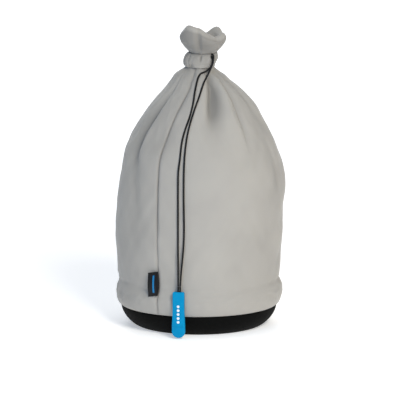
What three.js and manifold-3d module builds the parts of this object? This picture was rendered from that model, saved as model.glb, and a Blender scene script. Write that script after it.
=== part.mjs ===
// Drawstring lens pouch: a padded soft tube on a moulded base, gathered at the neck by a cord.
// Millimetres, +Z up, the front faces -Y. The origin is the middle of the base's flat underside.
import * as THREE from 'three';
import { mergeVertices } from 'three/addons/utils/BufferGeometryUtils.js';
import Module from 'manifold-3d';

const wasm = await Module();
wasm.setup();

// Fits and fineness
const layerGap = 0.3;
const cutOverrun = 5;
const aroundSteps = 28;

// Moulded base cup
const cupRadius = 62.3;
const cupFootRadius = 51;
const cupLipHeight = 16.7;
const cupHeight = 34;
const cupWall = 2.8;
const cupFloor = 3;
const cupRebate = 1.2;
const cupInnerRound = 8.8;
const cupRimRound = 1;

// Pads and linings inside the cup
const basePadThickness = 6;
const basePadClearance = 1.2;
const baseLiningThickness = 1;

// Wall layers, from the outside inwards
const faceThickness = 1;
const paddingThickness = 2;
const liningThickness = 0.6;
const seamAzimuthDegrees = -30.2;
const seamGap = 0.3;

// Heights of the soft tube
const pinchAboveCup = 4.5;
const channelBottom = 208.2;
const channelHeight = 12.4;
const ruffleHeight = 21.4;
const paddingAboveHem = 3;

// Radii of the soft tube
const hemStep = 0.2;
const hemPuff = 4;
const bellyRadius = 66.9;
const lowerNeckRadius = 10.8;
const middleNeckRadius = 10.2;
const upperNeckRadius = 9.85;
const ruffleRadius = 18.35;
const neckLean = 3.35;

// Drawcord channel round the neck
const channelThickness = 1;
const channelPuff = 2.5;
const channelClearance = 0.3;
const channelEdge = 0.6;
const channelRoundness = 0.6;
const channelSteps = 6;

// Buttonhole in the channel, long enough for both ends of the cord to shift in
const exitAzimuthDegrees = 35;
const exitSwingWidth = 7.1;
const exitSpareHeight = 2.4;
const exitAboveChannelBottom = 9.4;

// Drawcord
const cordDiameter = 1.5;
const cordSides = 8;
const loopHeightAboveChannel = 6.2;
const loopSetOff = 0.6;
const loopGapDegrees = 31;
const loopSteps = 26;
const strandSteps = 54;
const stubSteps = 3;

// Pull tab
const tabLength = 37.1;
const tabTopHeight = 38.2;
const tabTopWidth = 9.4;
const tabEndWidth = 10.7;
const tabThickness = 3;
const tabEdgeRound = 0.5;
const tabAzimuthDegrees = -13.6;
const tabStandOff = 0.7;
const tabWaistShare = 0.42;
const tabEndSteps = 12;

// Knot of the cord ends inside the tab
const knotShoulder = 0.35;
const knotSwell = 0.2;
const knotLength = 4.2;
const knotDepth = 2.4;
const knotClearance = 0.3;
const shankSpare = 0.1;

// Woven side label
const labelWidth = 9.5;
const labelHeight = 20;
const labelBottom = 31.8;
const labelThickness = 0.8;
const labelArcSteps = 6;

// Routes of the drawcord, point by point from the buttonhole to the tab
const leftStrandRoute = [
  [10.5, -12.3, 215.2],
  [10.1, -12.9, 213.0],
  [9.3, -13.3, 210.9],
  [7.7, -13.8, 208.7],
  [4.6, -14.9, 206.6],
  [1.5, -16.2, 205.4],
  [-0.2, -18.8, 203.4],
  [-1.4, -22.3, 200.4],
  [-3.1, -29.2, 193.4],
  [-5.0, -38.6, 183.3],
  [-7.6, -44.5, 174.6],
  [-11.0, -49.5, 165.7],
  [-13.5, -54.0, 156.7],
  [-15.1, -59.8, 143.9],
  [-16.3, -61.9, 134.5],
  [-16.6, -64.2, 120.3],
  [-16.6, -65.7, 104.2],
  [-16.6, -66.3, 88.0],
  [-16.6, -66.5, 71.7],
  [-16.5, -66.5, 55.4],
  [-16.5, -66.5, 42.5],
];
const rightStrandRoute = [
  [11.6, -13.6, 216.6],
  [11.2, -14.5, 214.0],
  [10.2, -15.0, 211.2],
  [9.2, -15.5, 208.8],
  [7.9, -16.7, 206.0],
  [6.3, -18.6, 203.2],
  [3.9, -23.7, 199.2],
  [0.0, -33.8, 189.2],
  [-3.0, -40.0, 182.0],
  [-5.0, -43.8, 176.5],
  [-7.5, -48.5, 168.7],
  [-9.7, -53.7, 159.3],
  [-11.4, -60.2, 145.6],
  [-11.9, -62.9, 134.7],
  [-12.1, -65.4, 120.5],
  [-12.0, -66.7, 104.5],
  [-11.8, -67.3, 90.0],
  [-12.2, -67.3, 75.0],
  [-13.0, -67.2, 65.0],
  [-14.1, -67.1, 54.0],
  [-14.9, -67.0, 42.5],
];
const leftStubRoute = [
  [8.6, -9.6, 218.1],
  [9.7, -11.0, 217.0],
  [10.4, -12.0, 215.7],
];
const rightStubRoute = [
  [9.0, -9.6, 220.0],
  [10.2, -11.4, 219.2],
  [11.3, -13.1, 217.6],
];
const leftTailRoute = [
  [-16.5, -66.5, 42.2],
  [-16.5, -66.5, 40.8],
  [-16.5, -66.5, 39.3],
];
const rightTailRoute = [
  [-14.9, -67.0, 42.2],
  [-14.9, -67.0, 40.8],
  [-14.9, -67.0, 39.3],
];

const degrees = Math.PI / 180;
const channelTop = channelBottom + channelHeight;
const hemBottom = cupLipHeight + layerGap;
const hemRadius = cupRadius + hemStep;
const pinchHeight = cupHeight + pinchAboveCup;
const rimHeight = channelTop + ruffleHeight;

// Shares of the hem's height and of its puff, from the hem's edge to the pinch above the cup
const hemShares = [[0, 0], [0.14, 0.675], [0.37, 1], [0.6, 0.975], [0.81, 0.6], [1, 0.225]];

// Shares of the body's height, of its swell past the neck, and of the neck's lean
const bodyShares = [
  [0.044, 0.954, 0], [0.15, 0.98, 0.06], [0.292, 1, 0.2], [0.433, 0.989, 0.75],
  [0.539, 0.952, 0.8], [0.628, 0.882, 0.6], [0.704, 0.77, 0.78], [0.775, 0.645, 0.9],
  [0.84, 0.513, 0.95], [0.904, 0.328, 0.95], [0.952, 0.178, 0.45],
];

// Shares of the ruffle's height and of its flare past the neck
const ruffleShares = [[0.276, 0.56], [0.58, 1], [0.86, 0.96], [1, 0.75]];
const channelBottomLeanShare = 0.27;
const channelMiddleLeanShare = 0.54;

function stationsOfWall() {
  const stations = [];
  for (const [height, puff] of hemShares) {
    const z = hemBottom + height * (pinchHeight - hemBottom);
    stations.push({ z, r: hemRadius + puff * hemPuff, lean: 0 });
  }
  for (const [height, swell, lean] of bodyShares) {
    const z = pinchHeight + height * (channelBottom - pinchHeight);
    stations.push({ z, r: lowerNeckRadius + swell * (bellyRadius - lowerNeckRadius), lean: lean * neckLean });
  }
  const channelMiddle = (channelBottom + channelTop) / 2;
  stations.push({ z: channelBottom, r: lowerNeckRadius, lean: channelBottomLeanShare * neckLean });
  stations.push({ z: channelMiddle, r: middleNeckRadius, lean: channelMiddleLeanShare * neckLean });
  stations.push({ z: channelTop, r: upperNeckRadius, lean: neckLean });
  for (const [height, flare] of ruffleShares) {
    const z = channelTop + height * ruffleHeight;
    stations.push({ z, r: upperNeckRadius + flare * (ruffleRadius - upperNeckRadius), lean: neckLean });
  }
  return stations;
}

const stations = stationsOfWall();

// A wall is thicker across where it slopes, so that its thickness stays true square to its face
for (let i = 0; i < stations.length; i += 1) {
  const below = stations[Math.max(i - 1, 0)];
  const above = stations[Math.min(i + 1, stations.length - 1)];
  stations[i].slant = Math.hypot(1, (above.r - below.r) / (above.z - below.z));
}

function wallAt(z, key) {
  for (let i = 1; i < stations.length; i += 1) {
    const low = stations[i - 1];
    const high = stations[i];
    if (z <= high.z) {
      const t = Math.max(0, (z - low.z) / (high.z - low.z));
      return low[key] + t * (high[key] - low[key]);
    }
  }
  return stations[stations.length - 1][key];
}

const cupRimRadius = cupRadius - cupRebate;
const cupInnerRadius = cupRimRadius - cupWall;

function merged(geometry) {
  const bare = geometry.clone();
  bare.deleteAttribute('normal');
  bare.deleteAttribute('uv');
  return mergeVertices(bare);
}

function solidOf(geometry) {
  const bare = merged(geometry);
  const solid = new wasm.Manifold(new wasm.Mesh({
    numProp: 3,
    vertProperties: new Float32Array(bare.attributes.position.array),
    triVerts: new Uint32Array(bare.index.array),
  }));
  return solid;
}

function geometryOf(solid) {
  const mesh = solid.getMesh();
  const geometry = new THREE.BufferGeometry();
  geometry.setAttribute('position', new THREE.BufferAttribute(mesh.vertProperties, mesh.numProp));
  geometry.setIndex(new THREE.BufferAttribute(mesh.triVerts, 1));
  return geometry;
}

// A turned piece about +Z, from its outline of radius and height
function turned(outline) {
  const points = outline.map(([r, z]) => new THREE.Vector2(r, z));
  const geometry = new THREE.LatheGeometry(points, aroundSteps);
  geometry.rotateX(Math.PI / 2);
  return geometry;
}

// Moves each ring of a turned piece sideways with the leaning wall
function leaned(geometry) {
  const places = geometry.attributes.position;
  for (let i = 0; i < places.count; i += 1) {
    places.setX(i, places.getX(i) + wallAt(places.getZ(i), 'lean'));
  }
  return geometry;
}

// A closed ring of one wall layer, between two depths below the outer face
function wallLayer(outerDepth, innerDepth, bottom, top, leastRadius) {
  const levels = stations.filter((s) => s.z > bottom && s.z < top).map((s) => s.z);
  levels.unshift(bottom);
  levels.push(top);
  const outer = [];
  const inner = [];
  for (const z of levels) {
    const radius = wallAt(z, 'r');
    const slant = wallAt(z, 'slant');
    const least = z < cupHeight + layerGap ? leastRadius : 0;
    outer.push([radius - outerDepth * slant, z]);
    inner.push([Math.max(radius - innerDepth * slant, least), z]);
  }
  return leaned(turned([...outer, ...inner.reverse(), outer[0]]));
}

// Half of a ring on one side of the two seams
function sewnHalf(ring, side) {
  const reach = 2 * Math.max(bellyRadius, cupRadius, ruffleRadius) + cutOverrun;
  const height = rimHeight + 2 * cutOverrun;
  const block = new THREE.BoxGeometry(reach, 2 * reach, height);
  block.translate(side * (reach / 2 + seamGap / 2), 0, height / 2 - cutOverrun);
  block.rotateZ(seamAzimuthDegrees * degrees);
  return geometryOf(solidOf(ring).intersect(solidOf(block)));
}

function part(name, geometry, colour, roughness) {
  const material = new THREE.MeshStandardMaterial({ color: colour, roughness, metalness: 0 });
  const mesh = new THREE.Mesh(geometry, material);
  mesh.name = name;
  return mesh;
}

const greyFace = 0xb7b3ac;
const greyLining = 0x8d8f92;
const foamColour = 0x55585c;
const blackMoulding = 0x151515;
const blackCord = 0x0d0d0d;
const tabBlue = 0x0e9bd8;

function baseCup() {
  const footRoundShares = [[0.27, 0.14], [0.76, 0.51], [0.95, 0.8]];
  const outline = [[0, 0], [cupFootRadius, 0]];
  for (const [out, up] of footRoundShares) {
    outline.push([cupFootRadius + out * (cupRadius - cupFootRadius), up * cupLipHeight]);
  }
  outline.push([cupRadius, cupLipHeight]);
  outline.push([cupRimRadius, cupLipHeight]);
  outline.push([cupRimRadius, cupHeight - cupRimRound]);
  outline.push([cupRimRadius - cupWall / 2, cupHeight]);
  outline.push([cupInnerRadius, cupHeight - cupRimRound]);
  const roundSteps = 3;
  for (let i = 0; i <= roundSteps; i += 1) {
    const turn = (i / roundSteps) * 90 * degrees;
    const r = cupInnerRadius - cupInnerRound * (1 - Math.cos(turn));
    const z = cupFloor + cupInnerRound * (1 - Math.sin(turn));
    outline.push([r, z]);
  }
  outline.push([0, cupFloor]);
  return part('base_cup', turned(outline), blackMoulding, 0.75);
}

const padBottom = cupFloor + layerGap;
const padTop = padBottom + basePadThickness;
const baseLiningBottom = padTop + layerGap;
const baseLiningTop = baseLiningBottom + baseLiningThickness;
const sleeveBottom = Math.max(baseLiningTop + layerGap, cupFloor + cupInnerRound + layerGap);

// Inner radius of the cup at a height within its inner round
function cupInnerAt(z) {
  const up = Math.min(Math.max(z - cupFloor, 0), cupInnerRound);
  const drop = cupInnerRound - up;
  return cupInnerRadius - cupInnerRound + Math.sqrt(cupInnerRound ** 2 - drop ** 2);
}

function basePad() {
  const low = cupInnerAt(padBottom) - basePadClearance;
  const high = cupInnerAt(padTop) - basePadClearance;
  const middleHeight = (padBottom + padTop) / 2;
  const middle = cupInnerAt(middleHeight) - basePadClearance;
  const outline = [[0, padBottom], [low, padBottom], [middle, middleHeight], [high, padTop], [0, padTop]];
  return part('base_pad', turned(outline), foamColour, 0.95);
}

function baseLining() {
  const radius = cupInnerAt(baseLiningBottom) - basePadClearance;
  const lower = [[0, baseLiningBottom], [radius, baseLiningBottom]];
  const upper = [[radius, baseLiningTop], [0, baseLiningTop]];
  const outline = [...lower, ...upper];
  return part('base_lining', turned(outline), greyLining, 0.95);
}

const paddingDepth = faceThickness + layerGap;
const liningDepth = paddingDepth + paddingThickness + layerGap;

function facePanels() {
  const ring = wallLayer(0, faceThickness, hemBottom, rimHeight, cupRimRadius + layerGap);
  return [
    part('front_panel', sewnHalf(ring, 1), greyFace, 0.9),
    part('rear_panel', sewnHalf(ring, -1), greyFace, 0.9),
  ];
}

function paddings() {
  const innerDepth = paddingDepth + paddingThickness;
  const bottom = hemBottom + paddingAboveHem;
  const ring = wallLayer(paddingDepth, innerDepth, bottom, rimHeight, cupRimRadius + layerGap);
  return [
    part('front_padding', sewnHalf(ring, 1), foamColour, 0.95),
    part('rear_padding', sewnHalf(ring, -1), foamColour, 0.95),
  ];
}

// The lining hangs inside the cup, and lies against the padding above it
function liningSleeve() {
  const besideCup = cupInnerRadius - layerGap;
  const aboveCup = cupHeight + 2 * layerGap;
  const outer = [[besideCup, sleeveBottom], [besideCup, aboveCup]];
  const inner = [[besideCup - liningThickness, sleeveBottom], [besideCup - liningThickness, aboveCup]];
  for (const { z, r, slant } of stations.filter((s) => s.z >= pinchHeight)) {
    outer.push([r - liningDepth * slant, z]);
    inner.push([r - (liningDepth + liningThickness) * slant, z]);
  }
  const ring = leaned(turned([...outer, ...inner.reverse(), outer[0]]));
  return part('lining_sleeve', ring, greyLining, 0.95);
}

const channelFoot = channelBottom + channelEdge;
const channelHead = channelTop - channelEdge;

function puffAt(z) {
  const share = (z - channelFoot) / (channelHead - channelFoot);
  return channelPuff * Math.max(0, Math.sin(Math.PI * share)) ** channelRoundness;
}

// Turned point about the leaning neck, at a distance out from the wall's outer face
function besideNeck(z, azimuth, setOff) {
  const radius = wallAt(z, 'r') + setOff;
  const x = wallAt(z, 'lean') + radius * Math.sin(azimuth);
  return new THREE.Vector3(x, -radius * Math.cos(azimuth), z);
}

function drawcordChannel() {
  const outer = [];
  const inner = [];
  for (let i = 0; i <= channelSteps; i += 1) {
    const z = channelFoot + (i / channelSteps) * (channelHead - channelFoot);
    const inside = wallAt(z, 'r') + channelClearance + puffAt(z);
    inner.push([inside, z]);
    outer.push([inside + channelThickness, z]);
  }
  const ring = leaned(turned([...outer, ...inner.reverse(), outer[0]]));
  const exitHeightMiddle = channelBottom + exitAboveChannelBottom;
  const depth = 2 * (channelPuff + channelThickness);
  const width = cordDiameter + exitSwingWidth;
  const height = 2 * cordDiameter + exitSpareHeight;
  const hole = new THREE.BoxGeometry(width, depth, height);
  const azimuth = exitAzimuthDegrees * degrees;
  const middle = besideNeck(exitHeightMiddle, azimuth, channelPuff);
  hole.rotateZ(azimuth);
  hole.translate(middle.x, middle.y, middle.z);
  return part('drawcord_channel', geometryOf(solidOf(ring).subtract(solidOf(hole))), greyFace, 0.9);
}

function cordSection() {
  const shape = new THREE.Shape();
  for (let i = 0; i < cordSides; i += 1) {
    const turn = (i / cordSides) * 2 * Math.PI;
    const x = (cordDiameter / 2) * Math.cos(turn);
    const y = (cordDiameter / 2) * Math.sin(turn);
    if (i === 0) shape.moveTo(x, y);
    else shape.lineTo(x, y);
  }
  shape.closePath();
  return shape;
}

function cordAlong(name, points, steps) {
  const path = new THREE.CatmullRomCurve3(points, false, 'centripetal');
  const settings = { steps, bevelEnabled: false, extrudePath: path };
  const geometry = new THREE.ExtrudeGeometry(cordSection(), settings);
  return part(name, geometry, blackCord, 0.6);
}

function cordPiece(name, route, steps) {
  return cordAlong(name, route.map(([x, y, z]) => new THREE.Vector3(x, y, z)), steps);
}

// The hidden loop runs round the neck inside the channel, from one side of the buttonhole to the other
function drawcordLoop() {
  const z = channelBottom + loopHeightAboveChannel;
  const setOff = channelClearance + loopSetOff + cordDiameter / 2;
  const start = (exitAzimuthDegrees + loopGapDegrees) * degrees;
  const sweep = (360 - 2 * loopGapDegrees) * degrees;
  const points = [];
  for (let i = 0; i <= loopSteps; i += 1) {
    points.push(besideNeck(z, start + (i / loopSteps) * sweep, setOff));
  }
  return cordAlong('drawcord_loop', points, loopSteps);
}

const shankWidth = 2 * cordDiameter + shankSpare;
const shankThickness = cordDiameter;
const knotWidth = shankWidth + 2 * knotShoulder;
const knotThickness = shankThickness + knotSwell;
const tabPlaneRadius = hemRadius + hemPuff + tabStandOff + tabThickness / 2;

// Outline of the tab, hanging down from its top edge
function tabOutline() {
  const shape = new THREE.Shape();
  const endRadius = tabEndWidth / 2;
  const waist = -tabWaistShare * tabLength;
  shape.moveTo(-tabTopWidth / 2, 0);
  shape.lineTo(-tabTopWidth / 2, waist);
  shape.lineTo(-endRadius, -tabLength + endRadius);
  for (let i = 1; i < tabEndSteps; i += 1) {
    const turn = Math.PI * (1 + i / tabEndSteps);
    shape.lineTo(endRadius * Math.cos(turn), -tabLength + endRadius + endRadius * Math.sin(turn));
  }
  shape.lineTo(endRadius, -tabLength + endRadius);
  shape.lineTo(tabTopWidth / 2, waist);
  shape.lineTo(tabTopWidth / 2, 0);
  shape.closePath();
  return shape;
}

function boxBetween(width, thickness, top, bottom) {
  const box = new THREE.BoxGeometry(width, thickness, top - bottom);
  box.translate(0, 0, (top + bottom) / 2);
  return box;
}

// The tab is moulded round the knot, with a slot down to it from the top edge
function pullTab() {
  const plate = new THREE.ExtrudeGeometry(tabOutline(), {
    depth: tabThickness - 2 * tabEdgeRound,
    bevelEnabled: true,
    bevelThickness: tabEdgeRound,
    bevelSize: tabEdgeRound,
    bevelOffset: -tabEdgeRound,
    bevelSegments: 1,
  });
  plate.translate(0, 0, -tabThickness / 2 + tabEdgeRound);
  plate.rotateX(Math.PI / 2);
  const pocket = boxBetween(
    knotWidth + 2 * knotClearance,
    knotThickness + 2 * knotClearance,
    -knotDepth + knotClearance,
    -knotDepth - knotLength - knotClearance,
  );
  const slot = boxBetween(
    shankWidth + 2 * knotClearance,
    shankThickness + 2 * knotClearance,
    cutOverrun,
    -knotDepth,
  );
  const solid = solidOf(plate).subtract(solidOf(pocket)).subtract(solidOf(slot));
  return part('pull_tab', geometryOf(solid), tabBlue, 0.45);
}

function cordKnot() {
  const knot = boxBetween(knotWidth, knotThickness, -knotDepth, -knotDepth - knotLength);
  const shank = boxBetween(shankWidth, shankThickness, 0, -knotDepth - knotLength / 2);
  return part('cord_end_knot', geometryOf(solidOf(knot).add(solidOf(shank))), blackCord, 0.6);
}

function tabAssembly() {
  const group = new THREE.Group();
  const azimuth = tabAzimuthDegrees * degrees;
  group.position.set(tabPlaneRadius * Math.sin(azimuth), -tabPlaneRadius * Math.cos(azimuth), tabTopHeight);
  group.rotation.z = azimuth;
  group.add(pullTab());
  group.add(cordKnot());
  return group;
}

// The folded label is caught in the seam by one edge and lies back over the rear panel
function sideLabel() {
  let clearRadius = 0;
  for (const { z, r } of stations) {
    if (z >= labelBottom && z <= labelBottom + labelHeight) clearRadius = Math.max(clearRadius, r);
  }
  clearRadius = Math.max(clearRadius, wallAt(labelBottom, 'r'), wallAt(labelBottom + labelHeight, 'r'));
  const inside = clearRadius + layerGap;
  const outside = inside + labelThickness;
  const start = seamAzimuthDegrees * degrees;
  const sweep = -labelWidth / inside;
  const shape = new THREE.Shape();
  const place = (radius, share) => {
    const turn = start + share * sweep;
    return [radius * Math.sin(turn), -radius * Math.cos(turn)];
  };
  shape.moveTo(...place(outside, 0));
  for (let i = 1; i <= labelArcSteps; i += 1) shape.lineTo(...place(outside, i / labelArcSteps));
  for (let i = labelArcSteps; i >= 0; i -= 1) shape.lineTo(...place(inside, i / labelArcSteps));
  shape.closePath();
  const geometry = new THREE.ExtrudeGeometry(shape, { depth: labelHeight, bevelEnabled: false });
  const label = part('side_label', geometry, blackMoulding, 0.8);
  label.position.z = labelBottom;
  return label;
}

const pouch = new THREE.Group();
pouch.add(baseCup(), basePad(), baseLining());
pouch.add(...facePanels(), ...paddings(), liningSleeve());
pouch.add(drawcordChannel(), drawcordLoop());
pouch.add(cordPiece('cord_exit_left', leftStubRoute, stubSteps));
pouch.add(cordPiece('cord_exit_right', rightStubRoute, stubSteps));
pouch.add(cordPiece('cord_strand_left', leftStrandRoute, strandSteps));
pouch.add(cordPiece('cord_strand_right', rightStrandRoute, strandSteps));
pouch.add(cordPiece('cord_tail_left', leftTailRoute, stubSteps));
pouch.add(cordPiece('cord_tail_right', rightTailRoute, stubSteps));
pouch.add(tabAssembly(), sideLabel());

export default pouch;
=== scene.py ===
import math

import bmesh
import bpy
import numpy as np
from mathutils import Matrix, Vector
from mathutils.kdtree import KDTree


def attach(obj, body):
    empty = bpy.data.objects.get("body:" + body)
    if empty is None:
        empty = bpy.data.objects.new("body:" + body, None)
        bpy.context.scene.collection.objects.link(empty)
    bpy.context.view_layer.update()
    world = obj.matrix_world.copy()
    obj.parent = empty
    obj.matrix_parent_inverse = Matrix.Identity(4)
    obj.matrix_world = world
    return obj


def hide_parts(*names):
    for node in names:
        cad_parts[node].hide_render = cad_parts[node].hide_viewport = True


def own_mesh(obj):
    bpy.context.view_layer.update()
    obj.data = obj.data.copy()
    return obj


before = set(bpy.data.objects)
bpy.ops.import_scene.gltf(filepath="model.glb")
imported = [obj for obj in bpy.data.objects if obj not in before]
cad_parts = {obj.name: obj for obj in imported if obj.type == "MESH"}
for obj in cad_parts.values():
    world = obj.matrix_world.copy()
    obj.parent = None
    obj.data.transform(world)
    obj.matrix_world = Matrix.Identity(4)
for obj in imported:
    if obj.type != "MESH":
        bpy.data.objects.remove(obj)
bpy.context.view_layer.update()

mm = 0.001
scene = bpy.context.scene
scene.view_settings.view_transform = "Standard"


# Smooth lines and values

curve_samples = 30


def between(t, start, end, a, b):
    """The point at t on the line from a, at start, to b, at end"""
    return (end - t) / (end - start) * a + (t - start) / (end - start) * b


def run_along(line):
    """How far along a line of points each of them lies"""
    return np.concatenate([[0], np.cumsum(np.linalg.norm(np.diff(line, axis=0), axis=1))])


def through(points, step):
    """Evenly spaced points on a smooth curve through the given ones"""
    given = np.asarray(points, float)
    given = np.concatenate([[2 * given[0] - given[1]], given, [2 * given[-1] - given[-2]]])
    curve = []
    for a, b, c, d in zip(given, given[1:], given[2:], given[3:]):
        spans = [np.linalg.norm(q - p) ** 0.5 for p, q in ((a, b), (b, c), (c, d))]
        t0, t1, t2, t3 = np.cumsum([0] + spans)
        t = np.linspace(t1, t2, curve_samples, endpoint=False)[:, None]
        ab = between(t, t0, t1, a, b)
        bc = between(t, t1, t2, b, c)
        cd = between(t, t2, t3, c, d)
        curve.append(between(t, t1, t2, between(t, t0, t2, ab, bc), between(t, t1, t3, bc, cd)))
    curve = np.concatenate(curve + [given[-2][None]])
    along = run_along(curve)
    even = np.linspace(0, along[-1], max(2, int(round(along[-1] / step)) + 1))
    return np.stack([np.interp(even, along, column) for column in curve.T], 1)


def eased(value, low, high):
    """0 below low, 1 above high and smooth between"""
    share = np.clip((value - low) / (high - low), 0, 1)
    return share * share * (3 - 2 * share)


def bell(offset):
    """1 at zero, falling smoothly away on both sides"""
    return np.exp(-np.square(offset))


def turn_from(azimuth, middle):
    """The degrees to azimuths from one in the middle, between -180 and 180"""
    return (azimuth - middle + 180) % 360 - 180


def placed(radius, azimuth, height, lean=0):
    """Points round the pouch's axis, or directions where the radius and height are shares of 1"""
    turn = np.radians(azimuth)
    x = lean + radius * np.sin(turn)
    y = -radius * np.cos(turn)
    return np.stack(np.broadcast_arrays(x, y, height), -1)


def outward_of(line):
    """The outward direction of a line of radii and heights: its share outwards and its share upwards"""
    turned = np.gradient(line, axis=0)
    size = np.hypot(turned[:, 0], turned[:, 1])
    return turned[:, 0] / size, -turned[:, 1] / size


# Closed pieces of cloth and cord

def mesh_piece(name, points, faces, corner_uv=None, crease_shade=None):
    """A smooth piece, with its cloth map in metres"""
    mesh = bpy.data.meshes.new(name)
    mesh.from_pydata((np.asarray(points) * mm).tolist(), [], faces)
    if corner_uv is not None:
        layer = mesh.uv_layers.new(name="cloth")
        layer.data.foreach_set("uv", (np.asarray(corner_uv, float) * mm).astype(np.float32).ravel())
    # A point attribute holds how much painted shade the cloth's colour gets
    if crease_shade is not None:
        shade = mesh.attributes.new("crease_shade", "FLOAT", "POINT")
        shade.data.foreach_set("value", np.asarray(crease_shade, np.float32).ravel())
    mesh.polygons.foreach_set("use_smooth", np.ones(len(mesh.polygons), bool))
    mesh.update()
    piece = bpy.data.objects.new(name, mesh)
    scene.collection.objects.link(piece)
    return piece


def stands_for(piece, node):
    """Puts a piece in a CAD node's place, by hiding the node"""
    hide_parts(node)
    return piece


def quads(rows, columns):
    """The row and the column of the four corners of each face in a grid"""
    r, c = np.meshgrid(np.arange(rows), np.arange(columns), indexing="ij")
    return np.stack([r, r, r + 1, r + 1], -1), np.stack([c, c + 1, c + 1, c], -1)


def shell(name, outer, inner, closed, across, along, crease_shade=None):
    """A closed piece between two grids of points, with rows upwards and columns to the right"""
    rows, columns = outer.shape[:2]
    last = columns if closed else columns - 1
    faces, places = [], []

    def add(row, column, layer):
        index = layer * rows * columns + row * columns + column % columns
        faces.append(index.reshape(-1, 4))
        places.append(np.stack([across[column], along[row]], -1).reshape(-1, 4, 2))

    row, column = quads(rows - 1, last)
    add(row, column, 0)
    add(row[..., ::-1], column[..., ::-1], 1)
    c = np.arange(last)[:, None]
    bottom = np.zeros((last, 4), int)
    add(bottom, c + [0, 0, 1, 1], np.array([0, 1, 1, 0]))
    add(bottom + rows - 1, c + [0, 1, 1, 0], np.array([0, 0, 1, 1]))
    if not closed:
        r = np.arange(rows - 1)[:, None]
        left = np.zeros((rows - 1, 4), int)
        add(r + [0, 1, 1, 0], left, np.array([0, 0, 1, 1]))
        add(r + [0, 0, 1, 1], left + columns - 1, np.array([0, 1, 1, 0]))
    points = np.concatenate([outer.reshape(-1, 3), inner.reshape(-1, 3)])
    shade = None if crease_shade is None else np.tile(crease_shade.ravel(), 2)
    return mesh_piece(name, points, np.concatenate(faces).tolist(), np.concatenate(places), shade)


# The braid's yarns stand out of its core, and its ends are rounded off over two rings
core_share, yarn_share = 0.97, 0.045
end_shares = (0.55, 0.86)
cord_aside = (0.3, 0.9, 0.1)


def braided_tube(name, line, diameter, sides=20, plaits=4, lay_length=5.2):
    """A round braided cord along a line of points, closed at both ends"""
    tangent = np.gradient(line, axis=0)
    tangent /= np.linalg.norm(tangent, axis=1)[:, None]
    side = np.cross(tangent[0], cord_aside)
    across = []
    for t in tangent:
        side = side - np.dot(side, t) * t
        side /= np.linalg.norm(side)
        across.append(side)
    across = np.array(across)
    up = np.cross(tangent, across)
    along = run_along(line)
    turn = np.linspace(0, 2 * np.pi, sides, endpoint=False)
    lean = 2 * np.pi * along[:, None] / lay_length * plaits
    braid = np.cos(plaits * turn + lean) * np.cos(plaits * turn - lean)
    radius = diameter / 2 * (core_share + yarn_share * braid)
    for k, share in enumerate(end_shares):
        radius[k] *= share
        radius[-1 - k] *= share
    spoke = np.cos(turn)[None, :, None] * across[:, None] + np.sin(turn)[None, :, None] * up[:, None]
    rings = line[:, None] + radius[..., None] * spoke
    row, column = (corners.reshape(-1, 4) for corners in quads(len(line) - 1, sides))
    faces = (row * sides + column % sides).tolist()
    places = np.stack([column / sides * np.pi * diameter, along[row]], -1).reshape(-1, 2).tolist()
    faces.append(list(range(sides))[::-1])
    faces.append([(len(line) - 1) * sides + k for k in range(sides)])
    places += [[0, 0]] * sides + [[0, along[-1]]] * sides
    return mesh_piece(name, rings.reshape(-1, 3), faces, places)


# Camera at the photograph's viewing angle, with its distance and its aim in metres

camera_elevation = math.radians(10.9)
camera_distance = 8.0
camera_aim = Vector((0.00088, 0, 0.0998))
camera_side = Vector((0, -math.cos(camera_elevation), math.sin(camera_elevation)))


def facing(place, target):
    """The turn that points a camera or a lamp from a place to a target"""
    return (target - place).to_track_quat("-Z", "Y").to_euler()


camera_data = bpy.data.cameras.new("camera")
camera_data.lens = 900
camera_data.clip_end = 50
camera_data.sensor_width = 36
camera = bpy.data.objects.new("camera", camera_data)
camera.location = camera_aim + camera_distance * camera_side
camera.rotation_euler = facing(camera.location, camera_aim)
scene.collection.objects.link(camera)
scene.camera = camera


# Drawcord: the routes of its two ends, from the buttonhole down to the tab

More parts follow.
